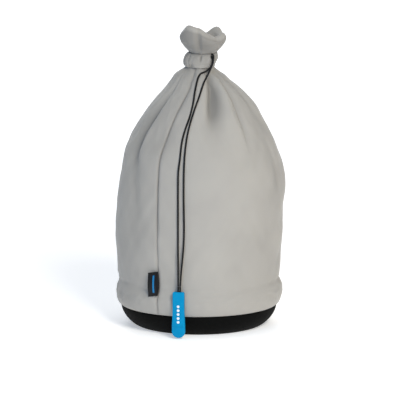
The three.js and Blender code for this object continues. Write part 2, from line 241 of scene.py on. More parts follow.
cord_diameter = 1.5
cord_step = 0.26
cord_routes = {
    "cord_strand_left": [
        (11, -12.1, 215.4), (10.7, -12.7, 213), (9.8, -13.1, 210.9), (8, -13.8, 208.7),
        (4.7, -14.9, 206.6), (1.5, -16.2, 205.4), (-0.2, -18.8, 203.4), (-1.4, -22.3, 200.4),
        (-3.1, -29.2, 193.4), (-5, -38.6, 183.3), (-7.6, -44.5, 174.6), (-11, -49.5, 165.7),
        (-13.5, -54, 156.7), (-15.1, -59.8, 143.9), (-16.3, -61.9, 134.5), (-16.6, -64.2, 120.3),
        (-16.6, -65.7, 104.2), (-16.6, -66.3, 88), (-16.6, -66.5, 71.7), (-16.5, -66.5, 55.4),
        (-16.5, -66.5, 42.5),
    ],
    "cord_strand_right": [
        (11.6, -13.6, 216.6), (11.2, -14.5, 214), (10.2, -15, 211.2), (9.2, -15.5, 208.8),
        (7.9, -16.7, 206), (6.3, -18.6, 203.2), (3.9, -23.7, 199.2), (0, -33.8, 189.2), (-3, -40, 182),
        (-5, -43.8, 176.5), (-7.5, -48.5, 168.7), (-9.7, -53.7, 159.3), (-11.4, -60.2, 145.6),
        (-11.9, -62.9, 134.7), (-12.1, -65.4, 120.5), (-12, -66.7, 104.5), (-11.8, -67.3, 90),
        (-12.2, -67.3, 75), (-13, -67.2, 65), (-14.1, -67.1, 54), (-14.9, -67, 42.5),
    ],
    "cord_exit_left": [
        (10.4, -10, 218.3), (11, -11.3, 217.5), (11.1, -12.1, 216), (10.9, -12.2, 214.8),
    ],
    "cord_exit_right": [
        (10.2, -10.6, 220.3), (11.3, -12.5, 219.8), (11.7, -13.5, 218.2), (11.6, -13.7, 216.2),
    ],
    "cord_tail_left": [(-16.5, -66.5, 42.7), (-16.5, -66.5, 40.8), (-16.5, -66.5, 37.8)],
    "cord_tail_right": [(-14.9, -67.0, 42.7), (-14.9, -67.0, 40.8), (-14.9, -67.0, 37.8)],
}
cord_lines = {}
cords = {}
for name, route in cord_routes.items():
    cord_lines[name] = through(route, cord_step)
    cord = braided_tube(name + "_braid", cord_lines[name], cord_diameter)
    cords[name] = stands_for(cord, name)


# The wall of the pouch: its outline, from inside the hem up to inside the rim of the ruffle

# Height and radius of the ruffle above its pinch, out, up and over its rim
ruffle_outline = [
    (221.4, 11.9), (224.6, 14.6), (228.8, 17.1), (233, 18.4), (237, 18.5), (240.4, 17.5), (242.2, 15.9),
    (241.6, 14.5), (239.2, 14), (236.5, 14.3), (233.5, 14.1),
]
ruffle_lean = 3.35
# Height, radius and lean to the right of the face cloth
wall_path = [
    (26, 61.6, 0), (21.5, 61.55, 0), (18.4, 61.6, 0), (17.25, 62, 0), (17.05, 62.9, 0), (17.9, 64, 0),
    (20.2, 65.3, 0), (25, 66.5, 0), (30, 66.4, 0), (34.5, 65.1, 0), (38.5, 63.7, 0), (42, 63.9, 0),
    (46, 64.5, 0), (64, 65.9, 0.2), (88, 66.9, 0.7), (112, 66.3, 2.5), (130, 64.2, 2.7), (145, 60.3, 2),
    (158, 54, 2.6), (170, 47, 3.2), (181, 39.6, 3.9), (192, 29.2, 3.9), (200, 20.4, 2),
    (204.5, 14.6, 1.2), (208.2, 11.1, 1), (214.5, 10.1, 1.8), (219.4, 10.25, 3.3),
] + [(height, radius, ruffle_lean) for height, radius in ruffle_outline]
row_step = 1.25
wall_line = through(wall_path, row_step)
row_height, row_radius, row_lean = wall_line.T
row_along = np.arange(len(row_height)) * row_step
row_out, row_up = outward_of(wall_line)
hem_rows = 40
hem_row = int(np.argmin(row_height[:hem_rows]))
rim_row = int(np.argmax(row_height))
pinch_top, ruffle_full, plain_rim = 221, 232.5, 242
# The ruffle's cone by height, which a lower rim follows down
flare = np.array([(219.4, 10.25), *ruffle_outline[:5], (250, 18.5)])


# Folds and dents of the wall

# Height, azimuth, depth, width to its left and width to its right
folds = {
    "left_fold": [
        (210, -57, 0, 2, 1.5), (204, -57, 0.6, 2.6, 1.6), (196, -57, 1.2, 3.6, 1.8),
        (188, -57.3, 1.8, 4.6, 1.9), (178, -58, 4.4, 7.4, 1.8), (170, -58.5, 6.2, 9.4, 1.8),
        (156, -59.5, 5.6, 9.4, 2), (145, -60, 3.4, 9.5, 3.2), (132, -57, 1.5, 9, 6),
        (110, -53, 1.2, 8, 7), (85, -52, 0.8, 9, 8), (60, -52, 0.1, 9, 9),
    ],
    "seam_valley": [
        (210, -20, 0.3, 1.5, 1.5), (203, -21, 1.1, 2.5, 1.6), (196, -26, 1.2, 4, 2.2),
        (188, -29.5, 0.9, 5, 3), (170, -31, 0.6, 5, 4), (140, -33, 0.5, 5, 4),
        (118, -33.4, 0.6, 4.4, 2.4), (98, -32, 1.2, 3.6, 1.8), (82, -31, 0.6, 4.4, 3),
        (60, -31, 0.3, 5, 5), (40, -30, 0.35, 5, 5), (20, -30, 0.2, 4, 4),
    ],
    "ridge_by_seam": [
        (208, -8, -0.3, 2, 2), (201, -8, -0.9, 3, 3), (192, -10, -1.3, 5, 4), (178, -14, -1.2, 7, 5),
        (160, -17, -0.6, 8, 7), (135, -18, 0, 8, 8),
    ],
    "puff_below_band": [
        (211, 2, -0.3, 3, 3), (207.5, 3, -2.5, 6, 5.4), (204.5, 3, -2.2, 5, 4.4), (201, 3, -1, 4, 3),
        (195, 3, 0, 4, 3),
    ],
    "front_dimple": [
        (209, 22, 0.3, 1.2, 1.8), (204.5, 21, 2, 1.5, 3), (199, 15.5, 5.2, 2, 4.8),
        (192, 11, 8, 2.5, 6.6), (185, 9, 8.6, 3, 7.6), (178, 8.7, 6.6, 3.4, 8.2), (171, 9, 3.2, 5, 9),
        (164, 10, 1, 7.5, 9.5), (154, 11, 0.2, 9, 9), (146, 11, 0, 9, 9),
    ],
    "front_ridge": [
        (208, 37, -0.3, 1.5, 1.5), (202, 40, -1.3, 2, 1.5), (192, 32.5, -1.7, 3.4, 2),
        (180, 31.5, -1.6, 4.6, 2.4), (168, 32.5, -1.1, 5.5, 3), (155, 34, 0, 7, 5),
    ],
    "right_crease": [
        (208, 50, 0.3, 1, 1.4), (202, 50, 1.5, 1.1, 2.4), (195, 41.5, 2.3, 0.9, 3),
        (185, 38.7, 2.6, 0.9, 3.6), (172, 38.9, 2.4, 0.9, 3.8), (161, 39.8, 1.8, 1.1, 4),
        (153, 40.4, 0.7, 1.8, 5), (143, 41, 0, 4, 5),
    ],
    "right_facet": [
        (208, 72, 0.3, 2, 2), (201, 71, 1.6, 3, 1.8), (193, 69, 2, 4.4, 2), (183, 68, 1.8, 6, 2.6),
        (172, 69, 1.3, 8, 3.4), (160, 72, 0.6, 9, 5), (150, 74, 0, 9, 8),
    ],
    "left_shoulder": [
        (208.6, -88, 0, 8, 8), (206, -88, -2.2, 9, 9), (203.5, -88, -3.4, 11, 11),
        (198.4, -88, -2.5, 14, 13), (192.7, -88, -1.9, 16, 14), (184, -87, -1.5, 17, 15),
        (174, -86, -1.1, 18, 16), (160, -86, 0, 18, 16),
    ],
    "right_hollow": [
        (158, 64, 0, 9, 5), (145, 66, 1.4, 8, 3), (130, 67, 2.1, 8, 3), (112, 68, 1, 8, 4),
        (95, 69, 0, 8, 6),
    ],
}
# Folds of the sides and the back, which the photograph doesn't show: azimuth, depth, lowest height, skew
hidden_folds = [
    (-86, 0.9, 158, 3), (-112, 2.6, 150, -5), (-133, 3, 142, 5), (-158, 2.2, 160, -3),
    (-178, 2.8, 148, 4), (168, 1.4, 172, -4), (132, 2.4, 152, 4), (108, 2.9, 146, -6), (90, 0.5, 166, 3),
]
shoulder_top = 200
for azimuth, depth, lowest, skew in hidden_folds:
    drop = shoulder_top - lowest
    folds[f"fold_{azimuth}"] = [
        (209, azimuth, 0.25, 1.6, 1.6), (203, azimuth, 0.5 * depth, 2.2, 2.6),
        (shoulder_top - 0.2 * drop, azimuth + 0.2 * skew, 0.9 * depth, 3.2, 4.8),
        (shoulder_top - 0.45 * drop, azimuth + 0.5 * skew, depth, 4.6, 6.6),
        (shoulder_top - 0.75 * drop, azimuth + 0.8 * skew, 0.55 * depth, 6.5, 8.5),
        (lowest - 8, azimuth + skew, 0, 9, 9),
    ]
folds_end = 214
# Soft dents: azimuth, height, half width in degrees, half height, depth
dents = [
    (12, 35.5, 11, 1.3, 0.55), (72, 39, 30, 1.5, 0.7), (-68, 39, 26, 1.8, 0.45), (-2, 39.5, 16, 1.6, 0.3),
    (-22, 44, 5, 6, 0.45), (-40, 48, 5, 9, 0.35), (30, 52, 14, 9, 0.35), (58, 68, 12, 22, 0.5),
    (-74, 80, 12, 30, 0.7), (-12, 76, 9, 30, 0.25), (22, 120, 14, 26, -0.4), (105, 60, 14, 24, 0.7),
    (128, 96, 12, 30, -0.8), (170, 70, 15, 26, 0.7), (-150, 58, 14, 20, 0.8), (-118, 104, 12, 26, 0.8),
    (-172, 112, 12, 24, -0.7), (-92, 30, 26, 6, 0.9), (-92, 41, 24, 4, -0.6), (88, 36, 26, 5, -1.2),
    (88, 203, 18, 6, -1), (-92, 78, 18, 26, -0.9), (-100, 42, 16, 1.7, 0.6), (-146, 40, 16, 1.6, 0.7),
    (150, 39, 20, 1.7, 0.6), (112, 38.5, 14, 1.5, 0.7), (84, 178, 9, 7, -0.8), (2, 38.5, 40, 4.5, -1),
]
# The rim's height, the ruffle's reach and how far the rim leans in, each by azimuth
rim_heights = [
    (-180, 231.6), (-168, 233.2), (-150, 236), (-115, 236), (-90, 235.6), (-68, 239.4), (-48, 243.8),
    (-38, 243.6), (-28, 242.6), (-12, 241.4), (-3, 240.2), (4, 238.8), (13, 237.2), (33, 235.2),
    (50, 233.4), (64, 234.2), (76, 235.8), (88, 236), (100, 234.4), (112, 232.2), (121, 232.8),
    (131, 236.2), (142, 238.4), (152, 237.6), (162, 234.8), (172, 232.4), (180, 231.6),
]
ruffle_reaches = [
    (-180, 0.9), (-158, -1.9), (-135, 0.9), (-110, 0.5), (-88, 0.7), (-62, 0.3), (-36, 0.8), (-22, 0.5),
    (-13, 0.2), (-2, 0.3), (22, 0.6), (46, 0.2), (66, 0.5), (86, 0.8), (104, -0.6), (124, 0.3),
    (142, 0.8), (164, -0.4), (180, 0.9),
]
rim_leans = [
    (-180, 0), (-60, 0), (-32, 0.6), (-14, 2.2), (0, 3.8), (24, 4.4), (46, 4.4), (62, 3), (80, 1),
    (98, -0.8), (120, -2.4), (145, -2.4), (166, -1), (180, 0),
]
# The front seam's azimuth and its depth, by height
seam_places = [
    (17, -30.2), (70, -30.3), (86, -30.6), (100, -31.5), (116, -32.8), (128, -33.2), (140, -33.1),
    (150, -32.7), (160, -32.1), (170, -31.2), (181, -30), (191, -27.6), (198, -24.2), (205, -20.5),
    (214, -17.5), (221, -15.5), (235, -13.5), (250, -13),
]
seam_depths = [
    (17, 0.75), (36, 0.8), (60, 0.5), (90, 0.8), (120, 1.1), (150, 1.2), (190, 1.15), (197, 0.7),
    (202, 0.1), (222, 0.12), (250, 0.12),
]


turn_step, turn_reach, turn_spread = 2.0, 9, 3.6
lowest_level, highest_level, level_step, level_spread_share = 10, 250, 1.0, 0.52


def evened(values, reach, spread, mode):
    """Values smoothed over their neighbours"""
    weights = bell(np.arange(-reach, reach + 1) / spread)
    return np.convolve(np.pad(values, reach, mode=mode), weights / weights.sum(), "valid")


def round_the_clock(azimuth, places):
    """A smooth value by azimuth"""
    table = np.array(places, float)
    turns = np.arange(-180, 180, turn_step)
    smooth = evened(np.interp(turns, table[:, 0], table[:, 1]), turn_reach, turn_spread, "wrap")
    return np.interp(turn_from(azimuth, 0), np.append(turns, 180), np.append(smooth, smooth[0]))


def by_height(height, places, column, reach=5):
    """A smooth value by height, from one column of a table"""
    table = np.array(sorted(places), float)
    levels = np.arange(lowest_level, highest_level, level_step)
    values = np.interp(levels, table[:, 0], table[:, column])
    return np.interp(height, levels, evened(values, reach, level_spread_share * reach, "edge"))


cloth_draws = np.random.default_rng(41)
wave_turn = 6.28


def draw_waves(count, around, long, size):
    """Waves of the wall: their number around, length, two phases and size, each drawn from a range"""
    return [
        (cloth_draws.integers(*around), cloth_draws.uniform(*long),
         *cloth_draws.uniform(0, 2 * np.pi, 2), cloth_draws.uniform(*size))
        for _ in range(count)
    ]


wrinkle_waves = draw_waves(16, (2, 9), (28, 70), (0.1, 0.3))
ripple_waves = draw_waves(22, (14, 40), (14, 34), (0.02, 0.05))
wrinkles_start, wrinkles_end, ripples_end = (40, 60), (150, 195), 205
calm_azimuth, calm_width, calm_share = 8, 62, 0.72
small_swelling, band_start = 0.4, (207.9, 209.6)


def fold_push(azimuth, height, radius):
    """How far the cloth stands out of its plain outline, from its folds, dents and waves"""
    push = np.zeros(np.broadcast(azimuth, height).shape)
    for places in folds.values():
        middle, depth, left, right = (by_height(height, places, column) for column in (1, 2, 3, 4))
        offset = np.radians(turn_from(azimuth, middle)) * radius
        push -= depth * (height < folds_end) * bell(offset / np.where(offset < 0, left, right))
    for middle, level, half_width, half_height, depth in dents:
        push -= depth * bell(turn_from(azimuth, middle) / half_width) * bell((height - level) / half_height)
    # Small swellings end where the band begins
    push *= 1 - eased(height, *band_start) * (push < small_swelling) * (push > 0)
    body = eased(height, *wrinkles_start) * (1 - eased(height, *wrinkles_end))
    calm_front = 1 - calm_share * bell(turn_from(azimuth, calm_azimuth) / calm_width)
    for waves, share in ((wrinkle_waves, body * calm_front), (ripple_waves, height < ripples_end)):
        for around, length, turn, phase, size in waves:
            wave = np.sin(around * np.radians(azimuth) + turn) * np.sin(height / length * wave_turn + phase)
            push += size * share * wave
    return push


neck_squeeze, neck_span = 0.3, (196, 224)
rim_rise, rim_tip, rim_tip_length, rim_tip_bend = (pinch_top, 241), 237.2, 5, 1.15
front_pinch_azimuth, front_pinch_width, front_pinch_depth = -11.5, 7.5, 2.1
front_pinch_start, front_pinch_end, front_pinch_eased = (pinch_top, 228), (237, 241.5), 0.7
# Painted shade at the front under the ruffle's roll: its azimuth and width, the heights over which it comes
# in and goes out, and its strength; then the fold depth that gets the full painted shade, and the share of
# a fold's push that lifts the cloth
front_shade_azimuth, front_shade_width, front_shade_start, front_shade_end = 2, 20, (pinch_top, 225), (231, 236.5)
front_shade_share, deepest_crease, lift_share = 0.5, 5, 0.25
settle_turns = np.linspace(-180, 180, 168, endpoint=False)
settled = np.zeros((len(row_height), len(settle_turns), 3))


def settled_at(azimuth, rows):
    """How far the simulation moved the wall at places between its own columns"""
    place = ((azimuth + 180) % 360) / 360 * len(settle_turns)
    left = place.astype(int) % len(settle_turns)
    share = (place % 1)[..., None]
    row = np.asarray(rows)[:, None] + 0 * left
    return (1 - share) * settled[row, left] + share * settled[row, (left + 1) % len(settle_turns)]


def cloth(azimuth, rows, depth, give=1.0):
    """Points of the wall at a depth below its outer face, and how much painted shade each gets: more the
    deeper it lies in a fold, and under the front of the ruffle's roll
    """
    height = row_height[rows][:, None]
    radius = row_radius[rows][:, None]
    depth = depth * (1 - neck_squeeze * eased(height, *neck_span))
    push = give * fold_push(azimuth, height, radius)
    rise = eased(height, *rim_rise) * (round_the_clock(azimuth, rim_heights) - plain_rim)
    reach = eased(height, pinch_top, ruffle_full) * round_the_clock(azimuth, ruffle_reaches)
    reach = reach + np.interp(height + rise, *flare.T) - np.interp(height, *flare.T)
    tip = np.clip((height - rim_tip) / rim_tip_length, 0, 1) ** rim_tip_bend
    reach = reach - tip * round_the_clock(azimuth, rim_leans)
    pinch = bell((azimuth - front_pinch_azimuth) / front_pinch_width) * eased(height, *front_pinch_start)
    reach = reach - front_pinch_depth * pinch * (1 - front_pinch_eased * eased(height, *front_pinch_end))
    up = row_up[rows][:, None]
    far = radius - depth * row_out[rows][:, None] + push + reach
    level = height - depth * up + rise + lift_share * push * up
    points = placed(far, azimuth, level, row_lean[rows][:, None]) + settled_at(azimuth, rows)
    # Painted shade under the ruffle's roll at the front, added to the painted shade in the folds
    front_roll_shade = front_shade_share * bell((azimuth - front_shade_azimuth) / front_shade_width)
    front_roll_shade = front_roll_shade * eased(height, *front_shade_start) * (1 - eased(height, *front_shade_end))
    return points, np.clip(front_roll_shade - push / deepest_crease, 0, 1)


# A tube of the wall's cloth is filled from inside and sags a little, and the wall takes over its wrinkles

settle_frames = 16
settle_limit = 1.7
settle_top = 203
settle_rows = np.arange(hem_row + 5, int(np.argmax(row_height > settle_top)), 2)
settle_calm_share, settle_calm_width = 0.6, 60
held_rows = 3
settle_pressure = 3
settle_gravity = 0.25
cloth_feel = {
    "quality": 5, "mass": 0.3, "tension_stiffness": 15, "compression_stiffness": 15, "shear_stiffness": 5,
    "bending_stiffness": 0.4, "shrink_min": -0.025, "vertex_group_mass": "held", "use_pressure": True,
    "uniform_pressure_force": settle_pressure,
}


def finish_modifiers(piece):
    bpy.context.view_layer.objects.active = piece
    for modifier in list(piece.modifiers):
        bpy.ops.object.modifier_apply(modifier=modifier.name)


def settle_wall():
    """How far each point of the wall moves in the simulation, by row and azimuth"""
    start, _ = cloth(np.tile(settle_turns, (len(settle_rows), 1)), settle_rows, 0)
    rows, columns = start.shape[:2]
    row, column = (corners.reshape(-1, 4) for corners in quads(rows - 1, columns))
    tube = mesh_piece("settling_wall", start.reshape(-1, 3), (row * columns + column % columns).tolist())
    held = tube.vertex_groups.new(name="held")
    for ring in range(rows):
        grip = max(0.0, 1 - min(ring, rows - 1 - ring) / held_rows)
        held.add(list(range(ring * columns, (ring + 1) * columns)), grip, "REPLACE")
    settle = tube.modifiers.new("settle", "CLOTH")
    for setting, value in cloth_feel.items():
        setattr(settle.settings, setting, value)
    settle.settings.effector_weights.gravity = settle_gravity
    settle.collision_settings.use_collision = False
    for step in range(1, settle_frames + 1):
        scene.frame_set(step)
    finish_modifiers(tube)
    end = np.empty(rows * columns * 3, np.float32)
    tube.data.vertices.foreach_get("co", end)
    scene.frame_set(1)
    bpy.data.objects.remove(tube)
    moved = end.reshape(start.shape) / mm - start
    size = np.linalg.norm(moved, axis=-1, keepdims=True)
    moved *= settle_limit * np.tanh(size / settle_limit) / np.maximum(size, 1e-6)
    calm_front = 1 - settle_calm_share * bell(turn_from(settle_turns, calm_azimuth) / settle_calm_width)
    moved *= calm_front[None, :, None]
    outward = placed(1, settle_turns, 0)
    shrunk = (moved * outward).sum(-1).mean(1)
    moved -= shrunk[:, None, None] * outward
    every_row = np.arange(len(row_height))
    whole = np.zeros((len(row_height), columns, 3))
    for k in range(columns):
        for axis in range(3):
            whole[:, k, axis] = np.interp(every_row, settle_rows, moved[:, k, axis], 0, 0)
    return whole


settled = settle_wall()


# Every layer of the wall is pressed in where the hanging cord lies on it

cord_points = np.concatenate([cord_lines["cord_strand_left"], cord_lines["cord_strand_right"]])
cord_tree = KDTree(len(cord_points))
for k, point in enumerate(cord_points):
    cord_tree.insert(point, k)
cord_tree.balance()
cord_clearance = cord_diameter / 2 + 0.12
cord_left, cord_right, cord_top = -40, 60, 215
press_reach, press_share, press_slack, press_passes = 3.0, 1.15, 0.05, 2


def press_under_cord(points, rows, azimuth, depth=0):
    """Moves a layer at a depth below the wall's face in, clear of the cord"""
    near = (azimuth > cord_left) & (azimuth < cord_right) & (row_height[rows][:, None] < cord_top)
    outward = placed(row_out[rows][:, None], azimuth, row_up[rows][:, None])
    for r, c in [*zip(*np.nonzero(near))] * press_passes:
        _, _, gap = cord_tree.find(points[r, c])
        if gap < press_reach + depth:
            spread = press_slack * max(0.0, 1 - gap / (press_reach + depth))
            need = max(0.0, cord_clearance + depth - gap) + spread
            points[r, c] -= press_share * need * outward[r, c]


# Face panels: two cut pieces of cloth joined by two side seams

face_thickness = 0.9
panel_width = 209
belly_radius = 66.5
rear_seam = 149.8
seam_gap = 0.05
edge_columns = np.array([0, 0.25, 0.5, 0.8, 1.15, 1.55, 2.0, 2.6, 3.3, 4.2, 5.3, 6.6, 8.0])
middle_columns = np.linspace(9.3, panel_width - 9.3, 134)
panel_across = np.concatenate([edge_columns, middle_columns, panel_width - edge_columns[::-1]])
# Rows past the hem's and past the rim's, over which folds and seams come in and go out
hem_rows_eased, rim_rows_eased = (-1, 7), (1, 4)
tuck_width, welt_height, welt_place, welt_width = 0.75, 0.2, 3.0, 1.6
stitch_height, stitch_turn, stitch_place, stitch_width = 0.12, 2.1, 1.4, 1.2
seam_shade, seam_shade_width = 0.8, 0.9


def across_panel(height, share, side, gap=0):
    """Azimuths from one seam to the other across the front panel, side 1, or the rear one"""
    front_seam = by_height(height, seam_places, 1, 16)[:, None]
    start, stop = (front_seam, rear_seam) if side > 0 else (rear_seam, front_seam + 360)
    return turn_from(start + gap + share * (stop - start - 2 * gap), 0)


def face_panel(name, node, side):
    """One panel, tucked in and stitched at both seams"""
    rows = np.arange(len(row_height))
    gap = np.degrees(seam_gap / row_radius)[:, None]
    azimuth = across_panel(row_height, panel_across / panel_width, side, gap)
    flap = eased(rows - hem_row, *hem_rows_eased) * (1 - eased(rows - rim_row, *rim_rows_eased))
    flap = flap[:, None]
    outer, crease_shade = cloth(azimuth, rows, 0, give=flap)
    from_seam = np.minimum(panel_across, panel_width - panel_across) * (row_radius / belly_radius)[:, None]
    deep = by_height(row_height, seam_depths, 1)[:, None]
    tuck = deep * bell(from_seam / tuck_width) - welt_height * bell((from_seam - welt_place) / welt_width)
    stitch = stitch_height * np.sin(row_along * stitch_turn)[:, None]
    stitch = stitch * bell((from_seam - stitch_place) / stitch_width)
    outer = outer - placed(1, azimuth, 0) * ((tuck + stitch) * flap)[..., None]
    press_under_cord(outer, rows, azimuth)
    inner = outer - face_thickness * placed(row_out[:, None], azimuth, row_up[:, None])
    crease_shade = np.clip(crease_shade + seam_shade * deep * bell(from_seam / seam_shade_width), 0, 1)
    piece = shell(name, outer, inner, False, panel_across, row_along, crease_shade)
    return stands_for(piece, node)


front_face = face_panel("front_panel_cloth", "front_panel", 1)
rear_face = face_panel("rear_panel_cloth", "rear_panel", -1)


# Padding between the cloths, and the lining

layer_gap = 0.3
padding_depth = face_thickness + layer_gap
padding_thickness = 1.9
padding_bottom, padding_columns = 24, 78
padding_edge, padding_edge_width, padding_edge_thinner = 1.2, 3, 0.9
lining_depth = padding_depth + padding_thickness + layer_gap
lining_thickness = 0.6
# The cup's upstand, which the wall's inner layers stay outside
upstand_radius, upstand_height = 61.9, 36


def rows_above(height, last):
    """The wall's rows from a height above the hem up to a last one"""
    above = (row_height > height) & (np.arange(len(row_height)) > hem_row)
    return np.arange(np.argmax(above), last)


def clear_of_cup(points, height):
    """Keeps an inner layer outside the cup's upstand"""
    far = np.hypot(points[..., 0], points[..., 1])
    least = np.where(height < upstand_height, upstand_radius, 0)[:, None]
    points[..., :2] *= (np.maximum(far, least) / far)[..., None]


def padding(name, node, side):
    """The foam behind one panel, thinner towards its edges"""
    rows = rows_above(padding_bottom, rim_row - 2)
    across = np.linspace(padding_edge, panel_width - padding_edge, padding_columns)
    azimuth = across_panel(row_height[rows], across / panel_width, side)
    ends = (across - padding_edge, panel_width - padding_edge - across)
    thinner = padding_edge_thinner * sum(bell(end / padding_edge_width) for end in ends)
    outer, _ = cloth(azimuth, rows, padding_depth + layer_gap + thinner[None])
    inner, _ = cloth(azimuth, rows, padding_depth + padding_thickness)
    press_under_cord(outer, rows, azimuth, padding_depth)
    clear_of_cup(outer, row_height[rows])
    clear_of_cup(inner, row_height[rows])
    piece = shell(name, outer, inner, False, across, row_along[rows])
    return stands_for(piece, node)


front_foam = padding("front_padding_foam", "front_padding", 1)
rear_foam = padding("rear_padding_foam", "rear_padding", -1)

# Heights and radii of the lining inside the cup
cup_lining_heights = np.array([12.1, 15, 20, 25, 30, 34.6, 36.6])
cup_lining_reach = np.array([57.9, 57.95, 58.0, 58.0, 58.0, 58.1, 58.6])
cup_lining_length = 29
lining_bottom, lining_columns = 40, 150


def lining():
    """The lining hangs inside the cup and follows the padding above it"""
    rows = rows_above(lining_bottom, rim_row - 4)
    turns = np.linspace(-180, 180, lining_columns, endpoint=False)
    azimuth = np.tile(turns, (len(rows), 1))
    faces = []
    for inset in (0, lining_thickness):
        above, _ = cloth(azimuth, rows, lining_depth + inset)
        below = placed((cup_lining_reach - inset)[:, None], turns, cup_lining_heights[:, None])
        faces.append(np.concatenate([below, above]))
    low_along = row_along[rows[0]] - cup_lining_length + cup_lining_heights - cup_lining_heights[0]
    along = np.concatenate([low_along, row_along[rows]])
    across = np.linspace(0, 2 * panel_width, len(turns) + 1)
    piece = shell("lining_sleeve_cloth", *faces, True, across, along)
    return stands_for(piece, "lining_sleeve")


sleeve = lining()


# Drawcord channel: a gathered band with a buttonhole

# Height, radius and lean of the band's outer face, from its lower edge to its upper one
band_path = [
    (209.6, 10.75, 1.15), (208.9, 11.3, 1.1), (209.2, 12.4, 1.1), (210.6, 13.6, 1.3),
    (212.6, 14.15, 1.55), (214.6, 14.2, 1.8), (216.6, 13.9, 2.25), (218.4, 13.2, 2.7), (219.7, 12.1, 3),
    (219.9, 11.1, 3.1), (219.2, 10.7, 3),
]
band_step = 0.42
band_rows = through(band_path, band_step)
band_columns = 260
band_length = 112
band_thickness, band_least_thickness, turned_edge_thickness = 0.9, 0.75, 0.25
band_inside, band_inside_span, turned_edge = 10.45, (209.35, 219.45), 11.6
band_middle, band_half_height = 214.5, 6
# The least share of the band's relief that goes outwards, and the share that goes up
least_outward, upward_share = 0.3, 0.6
# The radii between which the relief and the buttonhole fade in from the band's turned edges
relief_span, sinking_span = (11.2, 13.2), (11, 12.6)
exit_azimuth, exit_height = 35, 218
hole_azimuth = exit_azimuth + 1.5
hole_width, hole_height, hole_depth, hole_edge = 6.8, 2.2, 3.1, (0.66, 0.98)
hole_rim, hole_rim_place, hole_rim_width = 0.32, 1.2, 0.22
# Painted shade in the band: its strength in the buttonhole and where it fades out round the hole, and the
# crease depth that gets the full shade
hole_shade, hole_shade_edge = 0.5, (0.6, 0.9)
deepest_band_crease = 1.6
gather_draws = np.random.default_rng(7)
gathers = np.cumsum(gather_draws.uniform(0.7, 1.3, 17))
gathers = gathers / gathers[-1] * 360 - 180
gather_width, gather_depth, gather_change, gather_skew = 4.2, 0.55, 0.35, 5
depth_beat, skew_beat = 5.1, 2.3
plain_azimuth, plain_width, plain_share = 10, 34, 0.8
puff_azimuth, puff_width, puff_reach, puff_top = 4, 30, 1.9, (209, 211.6)
hollow_azimuth, hollow_width = 92, 34
# The band's creases and swellings: azimuth, its turn with height, half width and size,
# and the heights over which each one comes in and goes out
under_band, over_band, crease_height = (0, 1), (300, 301), 216
band_relief = [
    (-3.5, -0.4, 2.4, -1.5, (213, 217), over_band),
    (28, 0, 5, 0.5, (208, 211), (215, 218)),
    (57, 0, 6, 0.5, under_band, over_band),
    (-52, 0, 26, 0.35, under_band, over_band),
    (-33, 0, 9, -1.1, under_band, (209.5, 214)),
    (hollow_azimuth, 0, hollow_width, -0.9, under_band, over_band),
    (hollow_azimuth, 0, hollow_width, -1.3, under_band, (211, 216)),
]


def drawcord_band():
    """A gathered strip round the neck, with a buttonhole sunk into it"""
    turns = np.linspace(-180, 180, band_columns, endpoint=False)
    azimuth = np.tile(turns, (len(band_rows), 1))
    height, radius, lean = (band_rows[:, k][:, None] for k in range(3))
    out, up = (share[:, None] for share in outward_of(band_rows))
    push = np.zeros_like(azimuth)
    for k, gather in enumerate(gathers):
        plain_front = 1 - plain_share * bell((gather - plain_azimuth) / plain_width)
        depth = (gather_depth + gather_change * math.sin(depth_beat * k)) * plain_front
        skew = gather_skew * math.sin(skew_beat * k) * (height - band_middle) / band_half_height
        push -= depth * bell((turn_from(azimuth, gather) - skew) / gather_width)
    for middle, turn, width, size, comes, goes in band_relief:
        offset = azimuth - middle - turn * (height - crease_height)
        push += size * bell(offset / width) * eased(height, *comes) * (1 - eased(height, *goes))
    hole = np.hypot((azimuth - hole_azimuth) / hole_width, (height - exit_height) / hole_height)
    rim = hole_rim * bell((hole - hole_rim_place) / hole_rim_width)
    push = (push + rim) * eased(radius, *relief_span)
    sunk = hole_depth * (1 - eased(hole, *hole_edge)) * eased(radius, *sinking_span)
    puff = puff_reach * bell((azimuth - puff_azimuth) / puff_width) * (1 - eased(height, *puff_top))
    far = radius + push * np.maximum(out, least_outward) - sunk + puff
    outer = placed(far, azimuth, height + push * up * upward_share, lean)
    near = np.minimum(radius - band_thickness, far - band_least_thickness)
    near = np.where(radius > turned_edge, near, radius - turned_edge_thickness)
    inner = placed(np.maximum(near, band_inside), azimuth, np.clip(height, *band_inside_span), lean)
    across = np.linspace(0, band_length, band_columns + 1)
    along = np.arange(len(band_rows)) * band_step
    # Painted shade in the band's creases and in its buttonhole
    dark = np.clip(-push / deepest_band_crease, 0, 1) + hole_shade * (1 - eased(hole, *hole_shade_edge))
    piece = shell("drawcord_channel_cloth", outer, inner, True, across, along, np.clip(dark, 0, 1))
    return stands_for(piece, "drawcord_channel")


band = drawcord_band()

loop_reach, loop_height, loop_lean, loop_hollow = 11.85, 214.4, 1.78, 0.8
loop_start, loop_end, loop_points, loop_step = exit_azimuth + 31, exit_azimuth + 329, 27, 0.5
loop_clearance = 0.1


def hidden_loop():
    """The part of the cord that runs round the neck inside the channel"""
    azimuth = np.linspace(loop_start, loop_end, loop_points)
    reach = loop_reach - loop_hollow * bell((azimuth - hollow_azimuth) / hollow_width)
    line = through(placed(reach, azimuth, loop_height, loop_lean), loop_step)
    piece = braided_tube("drawcord_loop_braid", line, cord_diameter - loop_clearance)
    return stands_for(piece, "drawcord_loop")


loop = hidden_loop()


# Hard pieces, modelled from primitives

def start_piece(add_primitive, name, **sizes):
    bpy.ops.object.select_all(action="DESELECT")
    add_primitive(**sizes)
    piece = bpy.context.active_object
    piece.name = piece.data.name = name
    return piece


